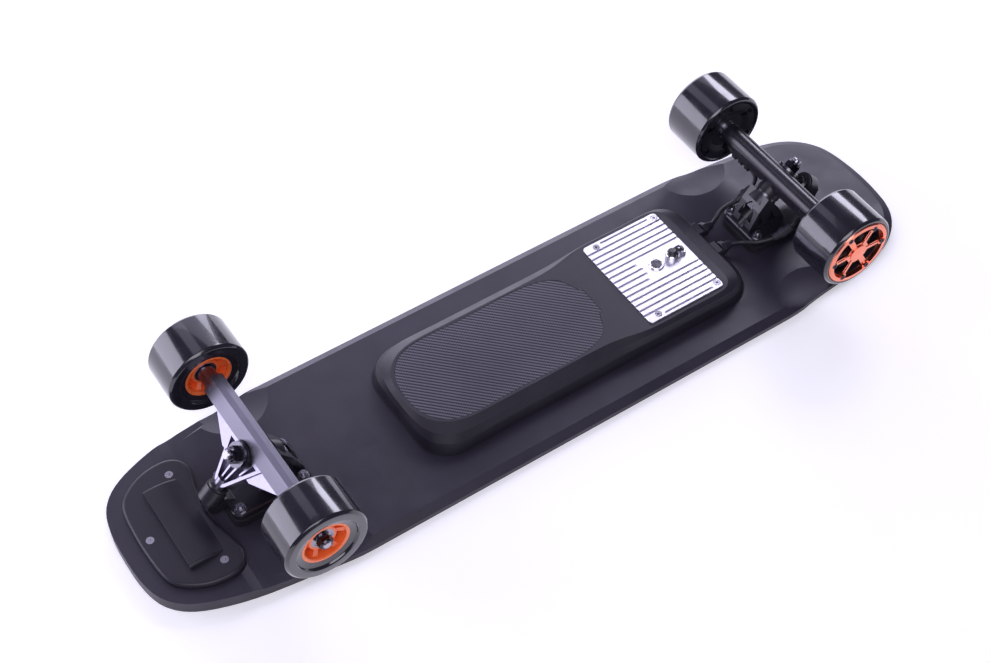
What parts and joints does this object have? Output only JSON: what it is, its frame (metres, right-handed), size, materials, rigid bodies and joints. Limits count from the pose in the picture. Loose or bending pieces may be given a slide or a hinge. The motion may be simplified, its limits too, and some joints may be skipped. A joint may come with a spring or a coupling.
{
  "type": "electric skateboard",
  "caption": "Low electric skateboard lying wheels up: composite deck with grip face down, battery enclosure, reverse-kingpin trucks, cast urethane wheels and a rear pair with hub motors.",
  "frame": {"origin": "centre of the grip face's outline, on the surface that the upturned board lies on: the bottom centre of the bounding box", "axes": "+X towards the nose with the carrying handle, +Y across the deck, +Z out of the deck's underside towards the wheels: the board lies wheels up, and a half turn about X puts it on its wheels"},
  "size_m": [0.85, 0.2562, 0.1215],
  "materials": {
    "anodised_silver": "bead-blasted anodised",
    "battery_wrap": "blue shrink wrap",
    "bearing": "bearing steel with black shields",
    "black_moulding": "satin black moulding",
    "black_nut": "black plated",
    "black_screw": "black oxide",
    "bolt_steel": "zinc-plated",
    "bright_bezel": "bright turned metal",
    "bushing": "cast urethane",
    "button_grey": "dark glossy cap",
    "cable": "matt black jacket",
    "cap_black": "glossy black cap and strap",
    "carbon_weave": "lacquered twill weave",
    "chrome": "bright plated",
    "circuit_board": "solder-masked laminate",
    "core_orange": "moulded wheel core",
    "dark_tube": "satin black coat",
    "deck": "satin charcoal composite laminate",
    "gasket": "matt black seal",
    "grip": "matt gritty grip sheet",
    "motor_black": "black anodised can",
    "motor_stack": "black varnished stack",
    "riser": "matt riser pad",
    "rose_gold": "rose-gold anodised",
    "satin_washer": "dark satin plating",
    "truck_black": "gloss black coat",
    "truck_silver": "satin grey casting",
    "tyre": "glossy cast urethane"
  },
  "bodies": {
    "board": {"battery_pack": "battery_wrap", "cable_glands": "black_moulding", "cap_eye": "chrome", "carbon_panel": "carbon_weave", "charge_socket": "bright_bezel", "controller_board": "circuit_board", "cup_washers": "satin_washer", "deck_board": "deck", "enclosure_gasket": "gasket", "enclosure_shell": "black_moulding", "front_baseplate": "truck_black", "front_bushings": "bushing", "front_pivot_cup": "truck_black", "front_riser": "riser", "grip_tape": "grip", "handle_cover": "black_moulding", "handle_screws": "bolt_steel", "heat_sink_plate": "anodised_silver", "kingpin_nuts": "black_nut", "kingpins": "bolt_steel", "lead_connectors": "black_moulding", "motor_leads": "cable", "plate_screws": "bolt_steel", "power_bezel": "bright_bezel", "rear_baseplate": "truck_black", "rear_bushings": "bushing", "rear_pivot_cup": "truck_black", "rear_riser": "riser", "truck_bolts": "bolt_steel", "truck_nuts": "bolt_steel"},
    "front_truck": {"front_hanger": "truck_silver", "front_axles": "bolt_steel", "front_axle_nuts": "black_nut", "front_washers": "satin_washer", "front_spacers": "bolt_steel"},
    "rear_truck": {"rear_hanger": "dark_tube", "rear_left_axle": "bolt_steel", "rear_right_axle": "bolt_steel", "rear_left_stator": "motor_stack", "rear_right_stator": "motor_stack", "hanger_leads": "cable", "lead_clips": "black_moulding"},
    "power_button": {"power_button": "button_grey"},
    "charge_cap": {"charge_cap": "cap_black"},
    "front_left_wheel": {"front_left_tyre": "tyre", "front_left_core": "core_orange", "front_left_bearings": "bearing"},
    "rear_left_wheel": {"rear_left_motor_can": "motor_black", "rear_left_tyre": "tyre", "rear_left_bearing": "bearing", "rear_left_cover": "rose_gold", "rear_left_screws": "black_screw"},
    "front_right_wheel": {"front_right_tyre": "tyre", "front_right_core": "core_orange", "front_right_bearings": "bearing"},
    "rear_right_wheel": {"rear_right_motor_can": "motor_black", "rear_right_tyre": "tyre", "rear_right_bearing": "bearing", "rear_right_cover": "rose_gold", "rear_right_screws": "black_screw"}
  },
  "joints": [
    {"name": "front_steer", "type": "hinge", "parent": "board", "child": "front_truck", "pos_m": [0.3278, 0, 0.0454], "axis": [0.7071, 0, -0.7071], "range_deg": [-15, 15], "stiffness_Nm_per_rad": 30, "deforming": ["front_bushings"]},
    {"name": "rear_steer", "type": "hinge", "parent": "board", "child": "rear_truck", "pos_m": [-0.3385, 0, 0.0454], "axis": [-0.7071, 0, -0.7071], "range_deg": [-15, 15], "stiffness_Nm_per_rad": 30, "deforming": ["rear_bushings", "motor_leads"]},
    {"name": "front_left_spin", "type": "hinge", "parent": "front_truck", "child": "front_left_wheel", "pos_m": [0.2873, 0.105, 0.0815], "axis": [0, 1, 0], "continuous": true},
    {"name": "front_right_spin", "type": "hinge", "parent": "front_truck", "child": "front_right_wheel", "pos_m": [0.2873, -0.105, 0.0815], "axis": [0, 1, 0], "continuous": true},
    {"name": "rear_left_spin", "type": "hinge", "parent": "rear_truck", "child": "rear_left_wheel", "pos_m": [-0.298, 0.1, 0.0786], "axis": [0, 1, 0], "continuous": true},
    {"name": "rear_right_spin", "type": "hinge", "parent": "rear_truck", "child": "rear_right_wheel", "pos_m": [-0.298, -0.1, 0.0786], "axis": [0, 1, 0], "continuous": true},
    {"name": "button_press", "type": "slide", "parent": "board", "child": "power_button", "axis": [0, 0, -1], "range_m": [0, 0.0012], "stiffness_N_per_m": 900, "springref_m": -0.0006},
    {"name": "cap_hinge", "type": "hinge", "parent": "board", "child": "charge_cap", "pos_m": [-0.1863, 0, 0.037], "axis": [0, -1, 0], "range_deg": [0, 100]}
  ]
}
